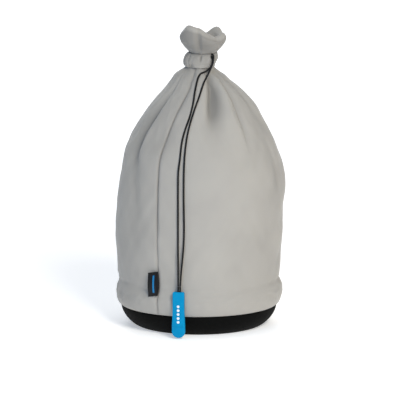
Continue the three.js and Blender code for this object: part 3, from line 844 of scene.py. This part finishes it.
def seat(piece, smooth_below=None):
    """Puts the place of a finished piece into its mesh, and smooths its gentler edges"""
    bpy.ops.object.select_all(action="DESELECT")
    piece.select_set(True)
    bpy.context.view_layer.objects.active = piece
    bpy.ops.object.transform_apply(location=True, rotation=True, scale=True)
    if smooth_below is not None:
        bpy.ops.object.shade_smooth_by_angle(angle=math.radians(smooth_below))


def lathed(name, outline, around=144):
    """A round piece drawn up from a disc, ring by ring, by extruding and scaling"""
    radius, height = outline[0]
    piece = start_piece(bpy.ops.mesh.primitive_circle_add, name, vertices=around, radius=radius * mm,
                        fill_type="NGON", location=(0, 0, height * mm))
    bpy.ops.object.mode_set(mode="EDIT")
    bpy.ops.mesh.select_all(action="SELECT")
    bpy.ops.mesh.flip_normals()
    bpy.ops.mesh.select_mode(type="EDGE")
    for next_radius, next_height in outline[1:]:
        rise = (next_height - height) * mm
        share = next_radius / radius
        bpy.ops.mesh.extrude_edges_move(TRANSFORM_OT_translate={"value": (0, 0, rise)})
        bpy.ops.transform.resize(value=(share, share, 1), center_override=(0, 0, next_height * mm))
        radius, height = next_radius, next_height
    bpy.ops.mesh.edge_face_add()
    bpy.ops.mesh.select_all(action="SELECT")
    bpy.ops.mesh.normals_make_consistent(inside=False)
    bpy.ops.object.mode_set(mode="OBJECT")
    seat(piece, smooth_below=32)
    return piece


# Outlines of radius and height, from the middle of the underside to the middle of the top
cup_foot = [(42, 0.7), (43.6, 0.7), (44.3, 0.25), (45.2, 0), (49.3, 0)]
cup_side = through([
    (50.6, 0.35), (52.2, 1.15), (54.6, 2.9), (57.3, 5.5), (59.7, 8.7), (61.4, 12.2), (62.2, 15.4),
    (62.25, 16.1),
], 1.2)
cup_inside, cup_floor, cup_corner = 58.3, 3, 8.8
cup_upstand = [
    (62.05, 16.6), (61.6, 16.7), (61.1, 16.75), (61.1, 32.6), (60.8, 33.6), (59.9, 34), (59.3, 33.8),
    (58.5, 33.2), (cup_inside, 32.4), (cup_inside, 12.2),
]
cup_hollow = [
    (cup_inside - cup_corner * (1 - math.cos(t)), cup_floor + cup_corner * (1 - math.sin(t)))
    for t in np.linspace(0.15, math.pi / 2, 9)
]
cup = lathed("base_cup_moulding", cup_foot + [*cup_side] + cup_upstand + cup_hollow + [(30, cup_floor)])
stands_for(cup, "base_cup")

disc_sides = 96
foot_disc = lathed("base_pad_foam", [
    (50.4, 3.45), (52.2, 3.6), (54.2, 4.8), (55.6, 6.3), (56.5, 8), (56.55, 8.9), (55.9, 9.25), (30, 9.3),
    (6, 9.3),
], disc_sides)
stands_for(foot_disc, "base_pad")

lining_disc = lathed("base_lining_cloth", [
    (56.2, 9.65), (56.7, 9.9), (56.7, 10.35), (56.2, 10.6), (54, 10.42), (40, 10.5), (12, 10.55),
], disc_sides)
stands_for(lining_disc, "base_lining")


# Pull tab: a moulded strip that widens to a round end, with a rib across it

tab_length, tab_top, tab_thickness = 37.1, 38.2, 3.0
tab_top_width, tab_end_width = 9.4, 10.7
tab_azimuth, tab_radius = -13.6, 68.7
waist, waist_widening, end_start = 0.42, 0.85, 30
rib_height, rib_half, rib_edge, rib_inset, rib_share = 9.8, 0.7, 0.05, 0.9, 0.24
end_corner, top_corner, tab_edge = 5.25, 1.1, 0.55
# The least distance of the tab's corners from its middle, and room beside its ends when they are picked
corner_aside, room, little_room = 4, 1, 0.01
cord_slot = (3.7, 2.1, 14.6)


def in_metres(*sizes):
    return tuple(size * mm for size in sizes)


def select_only(piece, kind, wanted):
    """Selects the corners, edges or faces of a piece in edit mode by their place"""
    bpy.ops.mesh.select_mode(type={"verts": "VERT", "edges": "EDGE", "faces": "FACE"}[kind])
    mesh = bmesh.from_edit_mesh(piece.data)
    for element in [*mesh.verts, *mesh.edges, *mesh.faces]:
        element.select = False
    for element in getattr(mesh, kind):
        element.select = bool(wanted(element))
    mesh.select_flush_mode()
    bmesh.update_edit_mesh(piece.data)


def middle_of(edge):
    return (edge.verts[0].co + edge.verts[1].co) / 2


def block(name, sizes, cuts):
    """A block with the middle of its top at the origin, in edit mode, cut across at some drops"""
    piece = start_piece(bpy.ops.mesh.primitive_cube_add, name, size=1)
    bpy.ops.object.mode_set(mode="EDIT")
    bpy.ops.mesh.select_mode(type="EDGE")
    bpy.ops.transform.resize(value=in_metres(*sizes))
    bpy.ops.transform.translate(value=in_metres(0, 0, -sizes[2] / 2))
    for drop in cuts:
        bpy.ops.mesh.select_all(action="SELECT")
        bpy.ops.mesh.bisect(plane_co=in_metres(0, 0, -drop), plane_no=(0, 0, 1))
    return piece


def hang(piece):
    """Moves a piece made with the tab's top at the origin to its place"""
    piece.location = in_metres(*placed(tab_radius, tab_azimuth, tab_top))
    piece.rotation_euler = (0, 0, math.radians(tab_azimuth))
    seat(piece, smooth_below=40)


def at_corner(edge, low, high):
    """Tells the tab's corner edges, which run through its thickness, between two heights"""
    through_it = abs(edge.verts[0].co.y - edge.verts[1].co.y) > mm
    middle = middle_of(edge)
    return through_it and low * mm < middle.z < high * mm and abs(middle.x) > corner_aside * mm


def pull_tab():
    """The tab is cut and rounded out of a block, and a slot for the knot is cut into its top"""
    rib_drop = tab_top - rib_height
    cuts = (waist * tab_length, rib_drop - rib_half - rib_edge, rib_drop + rib_half + rib_edge)
    piece = block("pull_tab_moulding", (tab_top_width, tab_thickness, tab_length), cuts)
    widen = tab_end_width / tab_top_width
    for low, high, wider in (
        (-tab_length - room, -end_start, widen),
        (-end_start, -waist * tab_length - little_room, 1 + waist_widening * (widen - 1)),
    ):
        select_only(piece, "verts", lambda corner: low * mm < corner.co.z < high * mm)
        bpy.ops.transform.resize(value=(wider, 1, 1), center_override=(0, 0, 0))
    select_only(piece, "edges", lambda edge: at_corner(edge, -tab_length - room, -tab_length + little_room))
    bpy.ops.mesh.bevel(offset=end_corner * mm, segments=16, affect="EDGES")
    select_only(piece, "edges", lambda edge: at_corner(edge, -little_room, room))
    bpy.ops.mesh.bevel(offset=top_corner * mm, segments=5, affect="EDGES")
    low, high = in_metres(-rib_drop - rib_half, -rib_drop + rib_half)
    select_only(piece, "faces",
                lambda face: low < face.calc_center_median().z < high and abs(face.normal.y) > 0.9)
    bpy.ops.mesh.inset(thickness=rib_inset * mm, depth=0)
    bpy.ops.transform.resize(value=(1, 1 + rib_share, 1), center_override=(0, 0, 0))
    sharp = math.radians(50)
    select_only(piece, "edges", lambda edge: edge.is_manifold and edge.calc_face_angle(0) > sharp)
    bpy.ops.mesh.bevel(offset=tab_edge * mm, segments=4, affect="EDGES", profile=0.55)
    bpy.ops.object.mode_set(mode="OBJECT")
    cutter = start_piece(bpy.ops.mesh.primitive_cube_add, "slot_cutter", size=1)
    cutter.scale = in_metres(*cord_slot)
    bpy.ops.object.transform_apply(location=False, rotation=False, scale=True)
    cut = piece.modifiers.new("slot", "BOOLEAN")
    cut.operation, cut.solver, cut.object = "DIFFERENCE", "EXACT", cutter
    finish_modifiers(piece)
    bpy.data.objects.remove(cutter)
    hang(piece)
    return stands_for(piece, "pull_tab")


dot_radius, dot_depth, dot_edge, dot_sunk = 1.1, 0.5, 0.2, 0.05
dot_heights = np.linspace(13.9, 26.5, 5)


def tab_dots():
    """A row of small raised dots down the middle of the tab"""
    middle = -(tab_thickness / 2 + dot_sunk)
    places = [in_metres(0, middle, height - tab_top) for height in dot_heights]
    sizes = {"vertices": 24, "radius": dot_radius * mm, "depth": dot_depth * mm,
             "rotation": (math.pi / 2, 0, 0)}
    piece = start_piece(bpy.ops.mesh.primitive_cylinder_add, "pull_tab_dots", location=places[0], **sizes)
    seat(piece)
    bpy.ops.object.mode_set(mode="EDIT")
    for place in places[1:]:
        bpy.ops.mesh.primitive_cylinder_add(location=place, **sizes)
    front = (middle - dot_edge) * mm
    select_only(piece, "edges", lambda edge: middle_of(edge).y < front and edge.calc_face_angle(0) > 1)
    bpy.ops.mesh.bevel(offset=dot_edge * mm, segments=3, affect="EDGES")
    bpy.ops.object.mode_set(mode="OBJECT")
    hang(piece)
    return piece


knot_size, knot_neck, knot_swell, knot_edge = (3.1, 1.5, 6.6), 2.4, 0.09, 0.25


def cord_knot():
    """The two ends of the cord, gathered into the tab"""
    piece = block("cord_end_knot_fibre", knot_size, [knot_neck])
    below = -knot_neck * mm
    select_only(piece, "faces",
                lambda face: face.calc_center_median().z < below and abs(face.normal.z) < 0.5)
    bpy.ops.mesh.extrude_region_shrink_fatten(TRANSFORM_OT_shrink_fatten={"value": knot_swell * mm})
    bpy.ops.mesh.select_all(action="SELECT")
    bpy.ops.mesh.bevel(offset=knot_edge * mm, segments=2, affect="EDGES")
    bpy.ops.object.mode_set(mode="OBJECT")
    hang(piece)
    return stands_for(piece, "cord_end_knot")


tab = pull_tab()
dots = tab_dots()
knot = cord_knot()


# Side label: a woven strip folded in two and caught in the seam

label_bottom, label_height, label_reach = 31.8, 19.5, 7.4
label_hinge_radius, label_hinge_azimuth = 66.6, math.radians(-30.2)
label_strip_length = 19.6
label_layer, label_between = 0.3, 0.12
label_slant = 1.6
label_roll, label_belly, label_top_roll = 0.85, 1.1, 0.45
label_belly_share, label_belly_power, label_top_power = 1.06, 1.3, 3
label_arc, label_fold_lap, label_rows = (-25, 84), 0.2, 26


def side_label():
    """Both layers of the folded strip: rolled over at the seam, then flat to the fold and back"""
    levels = np.linspace(0, 1, label_rows)
    belly = np.sin(np.pi * np.clip(levels * label_belly_share, 0, 1)) ** label_belly_power
    roll = (label_roll + label_belly * belly + label_top_roll * levels ** label_top_power)[:, None]
    outward = np.array([math.sin(label_hinge_azimuth), -math.cos(label_hinge_azimuth)])
    rightward = np.array([math.cos(label_hinge_azimuth), math.sin(label_hinge_azimuth)])

    def on_arc(far, turn):
        return np.stack([far * np.sin(turn), -far * np.cos(turn)], -1)

    def at_roll(inset, angles):
        spread = np.cos(angles)[None, :, None] * rightward + np.sin(angles)[None, :, None] * outward
        return label_hinge_radius * outward + (roll - inset)[..., None] * spread, 0 * angles

    def at_flat(inset, shares):
        far = label_hinge_radius + roll - inset
        return on_arc(far, label_hinge_azimuth - shares * label_reach / far), shares

    def at_fold(size, angles):
        far = label_hinge_radius + roll - label_layer - label_between / 2
        turn = label_hinge_azimuth - label_reach / far - size * np.sin(angles)[None] / far
        return on_arc(far + size * np.cos(angles)[None], turn), 0 * angles + 1

    around = np.radians(np.linspace(*label_arc, 9))
    shares = np.linspace(0, 1, 15)
    fold = np.linspace(label_fold_lap, math.pi - label_fold_lap, 7)
    half = label_between / 2
    grids = []
    for first, size, last in (
        (0, label_layer + half, 2 * label_layer + label_between),
        (label_layer, half, label_layer + label_between),
    ):
        parts = [at_roll(first, around), at_flat(first, shares), at_fold(size, fold),
                 at_flat(last, shares[::-1]), at_roll(last, around[::-1])]
        flat = np.concatenate([part[0] for part in parts], 1)
        share = np.concatenate([part[1] for part in parts])[None]
        height = label_bottom + label_height * levels[:, None] + label_slant * (1 - share)
        grids.append(np.concatenate([flat, height[..., None]], -1)[:, ::-1])
    across = np.linspace(0, label_strip_length, grids[0].shape[1])
    piece = shell("side_label_strip", *grids, False, across[::-1], levels * label_height)
    return stands_for(piece, "side_label")


label = side_label()


# Materials, with sizes in metres

def linear(red, green, blue):
    """A colour given as it looks on screen, from 0 to 255"""
    shares = (level / 255 for level in (red, green, blue))
    return (*(s / 12.92 if s <= 0.04045 else ((s + 0.055) / 1.055) ** 2.4 for s in shares), 1)


def darker(colour, share):
    return (*(share * c for c in colour[:3]), 1)


black, white = (0, 0, 0), (1, 1, 1)
# The period of a wave texture with a scale of 1
wave_period = 0.314159


class Finish:
    """One material, and the nodes that make its colour, relief and gloss"""

    def __init__(self, name, roughness, **sockets):
        self.material = bpy.data.materials.new(name)
        self.material.use_nodes = True
        self.tree = self.material.node_tree
        self.shader = self.tree.nodes["Principled BSDF"]
        self.give(self.shader, Roughness=roughness, **sockets)

    def give(self, node, **sockets):
        """Sets a node's sockets, or joins other nodes' outputs to them"""
        for name, value in sockets.items():
            socket = node.inputs[int(name[1:]) if name[1:].isdigit() else name.replace("_", " ")]
            if isinstance(value, bpy.types.NodeSocket):
                self.tree.links.new(value, socket)
            else:
                socket.default_value = value
        return node

    def add(self, kind, settings=None, **sockets):
        node = self.tree.nodes.new(kind)
        for name, value in (settings or {}).items():
            setattr(node, name, value)
        return self.give(node, **sockets)

    def math(self, operation, a, b=0.5):
        return self.add("ShaderNodeMath", {"operation": operation}, i0=a, i1=b).outputs[0]

    def times(self, a, b):
        return self.math("MULTIPLY", a, b)

    def mix(self, factor, a, b):
        return self.add("ShaderNodeMix", {"data_type": "RGBA"}, i0=factor, i6=a, i7=b).outputs[2]

    def ramp(self, value, low, high):
        """Black at low and white at high"""
        node = self.add("ShaderNodeValToRGB", Fac=value)
        for element, place, colour in zip(node.color_ramp.elements, (low, high), (black, white)):
            element.position = place
            element.color = (*colour, 1)
        return node.outputs[0]

    def spread(self, value, low, high, start=0.0, end=1.0):
        """Turns the range from start to end into the one from low to high"""
        sockets = {"From_Min": start, "From_Max": end, "To_Min": low, "To_Max": high}
        return self.add("ShaderNodeMapRange", Value=value, **sockets).outputs[0]

    def noise(self, place, scale, detail=2.0):
        sockets = {"Vector": place, "Scale": scale, "Detail": detail, "Roughness": 0.5}
        return self.add("ShaderNodeTexNoise", **sockets).outputs[0]

    def cells(self, place, scale):
        return self.add("ShaderNodeTexVoronoi", Vector=place, Scale=scale).outputs[0]

    def wave(self, place, period, direction):
        settings = {"wave_type": "BANDS", "bands_direction": direction, "wave_profile": "SIN"}
        return self.add("ShaderNodeTexWave", settings, Vector=place, Scale=wave_period / period).outputs[1]

    def bump(self, height, strength, distance, under=None):
        sockets = {} if under is None else {"Normal": under}
        node = self.add("ShaderNodeBump", Height=height, Strength=strength, Distance=distance, **sockets)
        return node.outputs[0]

    def along(self, place, axis):
        return self.add("ShaderNodeSeparateXYZ", Vector=place).outputs["XYZ".index(axis)]

    def object_place(self):
        return self.add("ShaderNodeTexCoord").outputs["Object"]

    def cloth_place(self):
        return self.add("ShaderNodeUVMap", {"uv_map": "cloth"}).outputs[0]

    def done(self, colour, relief, roughness=None):
        self.give(self.shader, Base_Color=colour, Normal=relief)
        if roughness is not None:
            self.give(self.shader, Roughness=roughness)
        return self.material


def knit_cloth(name, light, dark, wale, course, crease_shaded, strength, sheen):
    """Fine warp-knit cloth: its loops, its brushed nap, its uneven colour and, when asked, painted shade in
    its folds and on the ruffle
    """
    look = Finish(name, 0.86, Sheen_Weight=sheen, Sheen_Roughness=0.45, Specular_IOR_Level=0.22)
    place = look.cloth_place()
    loops = look.times(look.wave(place, wale, "X"), look.wave(place, course, "Y"))
    solid_place = look.object_place()
    cloud = look.noise(solid_place, 26, 3)
    streak = look.noise(solid_place, 210)
    colour = look.mix(look.ramp(cloud, 0.3, 0.72), dark, light)
    colour = look.mix(look.times(streak, 0.10), colour, dark)
    colour = look.mix(look.times(loops, 0.10), colour, darker(dark, 0.72))
    if crease_shaded:
        # Painted shade: the cloth is darker in its folds, along its seams and under the front of the
        # ruffle's roll
        crease_shade = look.add("ShaderNodeAttribute", {"attribute_name": "crease_shade"}).outputs["Fac"]
        colour = look.mix(look.times(crease_shade, 0.75), colour, darker(dark, 0.50))
        # Painted shade darkens the outside of the ruffle, which faces downwards, up to its rim
        high = look.spread(look.along(solid_place, "Z"), 0.0, 1.0, 0.196, 0.226)
        rim_along = row_along[rim_row] * mm
        outside = look.spread(look.along(place, "Y"), 1.0, 0.12, rim_along - 0.0052, rim_along - 0.003)
        ruffle_painted_shade = look.times(look.times(high, outside), look.math("ADD", 0.42, look.times(cloud, 0.3)))
        colour = look.mix(ruffle_painted_shade, colour, darker(dark, 0.42))
    nap = look.bump(look.noise(solid_place, 2600), 0.22, 0.00012)
    knit = look.bump(loops, strength, 0.0001, nap)
    broad = look.bump(look.noise(solid_place, 95, 3), 0.10, 0.0006, knit)
    return look.done(colour, broad, look.spread(streak, 0.80, 0.94))


def foam():
    look = Finish("foam_padding", 0.95, Specular_IOR_Level=0.15)
    place = look.object_place()
    colour = look.mix(look.noise(place, 60, 3), linear(74, 77, 82), linear(104, 107, 111))
    return look.done(colour, look.bump(look.cells(place, 900.0), 0.5, 0.0003))


def black_moulding():
    """Soft black rubber with a fine cast grain, scuffed at its foot"""
    look = Finish("cup_rubber", 0.75, Specular_IOR_Level=0.07)
    place = look.object_place()
    fine = look.noise(place, 2400)
    tone = look.noise(place, 38, 4)
    foot = look.spread(look.along(place, "Z"), 1.0, 0.0, 0.0, 0.004)
    scuffs = look.times(foot, look.ramp(look.noise(place, 300, 4), 0.45, 0.75))
    colour = look.mix(tone, linear(4, 4, 3), linear(8, 8, 7))
    colour = look.mix(look.times(scuffs, 0.5), colour, linear(66, 65, 62))
    colour = look.mix(look.times(fine, 0.22), colour, linear(20, 20, 19))
    relief = look.bump(fine, 0.3, 0.0001, look.bump(look.cells(place, 1150.0), 0.55, 0.00022))
    return look.done(colour, relief, look.spread(tone, 0.66, 0.82))


def braid():
    """Black polyester braid, with a dull shine along each yarn"""
    look = Finish("cord_braid_black", 0.55, Sheen_Weight=0.1, Sheen_Roughness=0.4, Specular_IOR_Level=0.2)
    place = look.cloth_place()
    yarn_width, yarn_lean = 0.00034, math.radians(38)
    plaits = []
    for lean in (yarn_lean, -yarn_lean):
        leaning = look.add("ShaderNodeMapping", Vector=place, Rotation=(0, 0, lean)).outputs[0]
        plaits.append(look.wave(leaning, yarn_width, "X"))
    yarns = look.times(*plaits)
    fuzz = look.noise(look.object_place(), 1500, 3)
    colour = look.mix(yarns, linear(7, 7, 8), linear(24, 24, 25))
    colour = look.mix(look.times(fuzz, 0.3), colour, linear(32, 32, 33))
    return look.done(colour, look.bump(yarns, 0.7, 0.0001), look.spread(fuzz, 0.42, 0.66))


def tab_rubber():
    """Bright blue rubber with a matt moulded skin"""
    look = Finish("tab_rubber_blue", 0.56, Specular_IOR_Level=0.09)
    place = look.object_place()
    tone = look.noise(place, 120, 4)
    specks = look.ramp(look.noise(place, 700, 3), 0.62, 0.78)
    colour = look.mix(tone, linear(0, 129, 180), linear(0, 143, 191))
    colour = look.mix(look.times(specks, 0.18), colour, linear(60, 170, 222))
    relief = look.bump(look.noise(place, 2200), 0.35, 0.00008)
    return look.done(colour, relief, look.spread(tone, 0.40, 0.54))


def white_rubber():
    """The white second shot of the moulded tab"""
    look = Finish("tab_rubber_white", 0.5, Specular_IOR_Level=0.3)
    place = look.object_place()
    colour = look.mix(look.noise(place, 900, 3), linear(222, 228, 230), linear(244, 247, 248))
    return look.done(colour, look.bump(look.noise(place, 2400), 0.3, 0.00006))


def knot_fibre():
    """The cord's ends pressed together, with short strands in all directions"""
    look = Finish("knot_fibre_black", 0.6, Specular_IOR_Level=0.2)
    strands = look.noise(look.object_place(), 1800, 3)
    colour = look.mix(strands, linear(8, 8, 9), linear(28, 28, 30))
    return look.done(colour, look.bump(strands, 0.7, 0.0002))


stripe_from_edge, stripe_half = 0.0048, 0.00055
stripe_start, stripe_end = 0.0028, 0.0168


def woven_label():
    """Black satin label with a plain blue stripe down its middle"""
    look = Finish("label_satin", 0.6, Sheen_Weight=0.05, Specular_IOR_Level=0.2)
    place = look.cloth_place()
    weave = look.times(look.wave(place, 0.00032, "Y"), look.wave(place, 0.00018, "X"))
    x, y = look.along(place, "X"), look.along(place, "Y")
    half_strip = label_strip_length * mm / 2
    from_fold = look.math("ABSOLUTE", look.math("SUBTRACT", x, half_strip))
    off_stripe = look.math("ABSOLUTE", look.math("SUBTRACT", from_fold, half_strip - stripe_from_edge))
    ends = look.times(look.math("GREATER_THAN", y, stripe_start), look.math("LESS_THAN", y, stripe_end))
    stripe = look.times(look.math("LESS_THAN", off_stripe, stripe_half), ends)
    colour = look.mix(weave, linear(6, 6, 8), linear(20, 21, 24))
    colour = look.mix(stripe, colour, linear(22, 120, 176))
    relief = look.bump(look.math("ADD", weave, stripe), 0.45, 0.0001)
    return look.done(colour, relief, look.spread(weave, 0.48, 0.68))


def finish_with(material, *pieces):
    for piece in pieces:
        piece.data.materials.clear()
        piece.data.materials.append(material)


face_knit = knit_cloth("face_knit", linear(173, 169, 162), linear(166, 162, 156),
                       wale=0.0007, course=0.00052, crease_shaded=True, strength=0.35, sheen=0.25)
lining_tricot = knit_cloth("lining_tricot", linear(220, 221, 223), linear(207, 208, 211),
                           wale=0.0006, course=0.0009, crease_shaded=False, strength=0.4, sheen=0.4)
finish_with(face_knit, front_face, rear_face, band)
finish_with(lining_tricot, sleeve, lining_disc)
finish_with(foam(), front_foam, rear_foam, foot_disc)
finish_with(black_moulding(), cup)
finish_with(braid(), *cords.values(), loop)
finish_with(tab_rubber(), tab)
finish_with(white_rubber(), dots)
finish_with(knot_fibre(), knot)
finish_with(woven_label(), label)


# What rides on what, and the hanging strands get meshes of their own

wall_pieces = (front_face, rear_face, front_foam, rear_foam, sleeve, band, loop)
for piece in (*wall_pieces, cup, foot_disc, lining_disc):
    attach(piece, "pouch")
for side in ("left", "right"):
    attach(cords["cord_exit_" + side], "cord_exit")
    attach(cords["cord_strand_" + side], "cord_hang")
    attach(cords["cord_tail_" + side], "cord_tails")
for piece in (tab, dots, knot):
    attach(piece, "tab")
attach(label, "label")

for side in ("left", "right"):
    strand = cords["cord_strand_" + side]
    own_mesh(strand)
    on_it = [cords["cord_exit_" + side], cords["cord_tail_" + side]]
    if side == "left":
        on_it += [tab, dots, knot]


# Floor and soft light, in metres and watts

def studio_floor():
    floor = start_piece(bpy.ops.mesh.primitive_plane_add, "studio_floor", size=30)
    paint = Finish("floor_white", 0.9, Specular_IOR_Level=0.1, Base_Color=(0.93, 0.93, 0.93, 1),
                   Emission_Color=(1, 1, 1, 1), Emission_Strength=0.42)
    floor.data.materials.append(paint.material)


studio_floor()
light_aim = Vector((0, 0, 0.11))


def soft_light(name, place, size, power, colour):
    data = bpy.data.lights.new(name, "AREA")
    data.shape = "RECTANGLE"
    data.size, data.size_y = size
    data.energy = power
    data.color = colour
    lamp = bpy.data.objects.new(name, data)
    lamp.location = place
    lamp.rotation_euler = facing(Vector(place), light_aim)
    scene.collection.objects.link(lamp)


soft_light("key_right", (0.8, -2.08, 1.5), (0.8, 0.8), 48, (1.0, 0.955, 0.87))
soft_light("fill_left", (-0.75, -2.15, 1.1), (0.9, 0.9), 11.5, (0.24, 0.54, 1.0))
soft_light("top", (0.0, 0.2, 2.6), (3.0, 3.0), 20, white)
soft_light("rear", (-0.3, 2.4, 1.5), (1.6, 1.2), 26, white)

world = bpy.data.worlds.new("studio_air")
world.use_nodes = True
background = world.node_tree.nodes["Background"]
background.inputs["Color"].default_value = (0.72, 0.86, 1.0, 1)
background.inputs["Strength"].default_value = 0.115
scene.world = world
